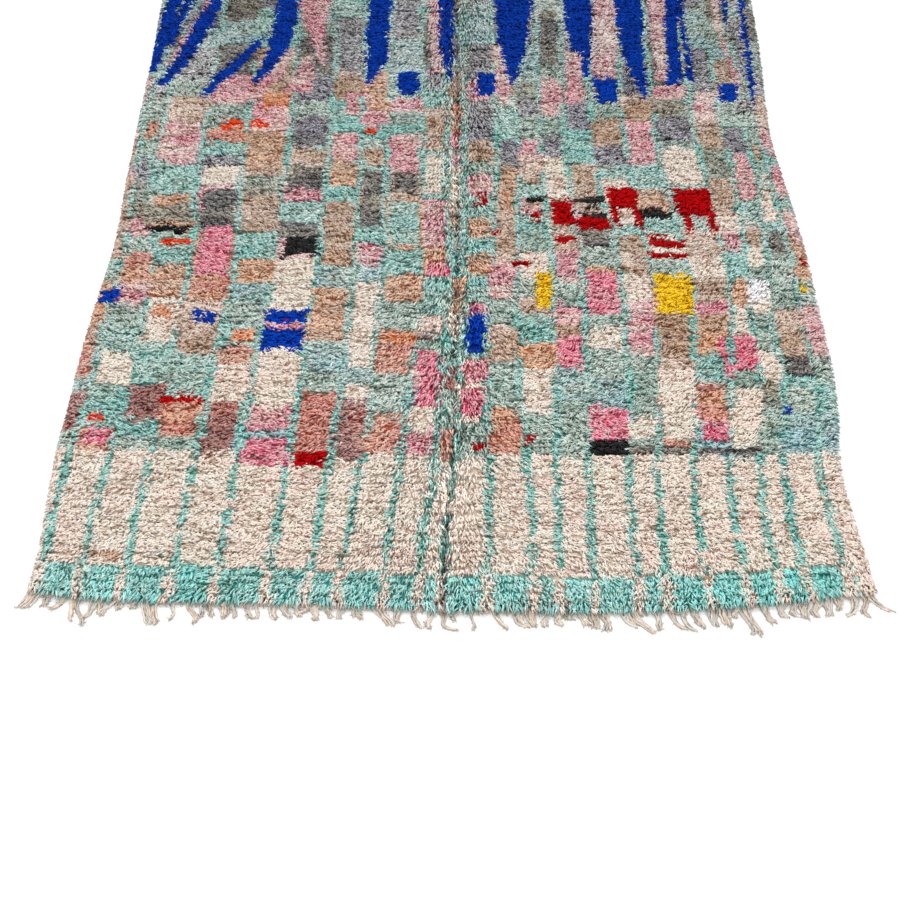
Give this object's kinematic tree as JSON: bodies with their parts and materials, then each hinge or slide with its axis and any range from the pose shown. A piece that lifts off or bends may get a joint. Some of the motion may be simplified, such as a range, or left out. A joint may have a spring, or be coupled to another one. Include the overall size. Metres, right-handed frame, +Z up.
{
  "type": "knotted pile rug",
  "caption": "Thick hand-knotted wool rug lying flat, patchwork pattern in mint, pink and cream with blue streaks, and a knotted warp fringe at its near end.",
  "frame": {"origin": "on the floor under the middle of the rug's box", "axes": "+Y along the rug from the fringed end to the plain end, +X to the right seen from the fringed end, +Z up"},
  "size_m": [1.6102, 2.6776, 0.024],
  "materials": {
    "pile": "matt wool pile",
    "warp": "undyed wool yarn"
  },
  "bodies": {
    "root": {"rug": "pile", "fringe": "warp"}
  },
  "joints": []
}
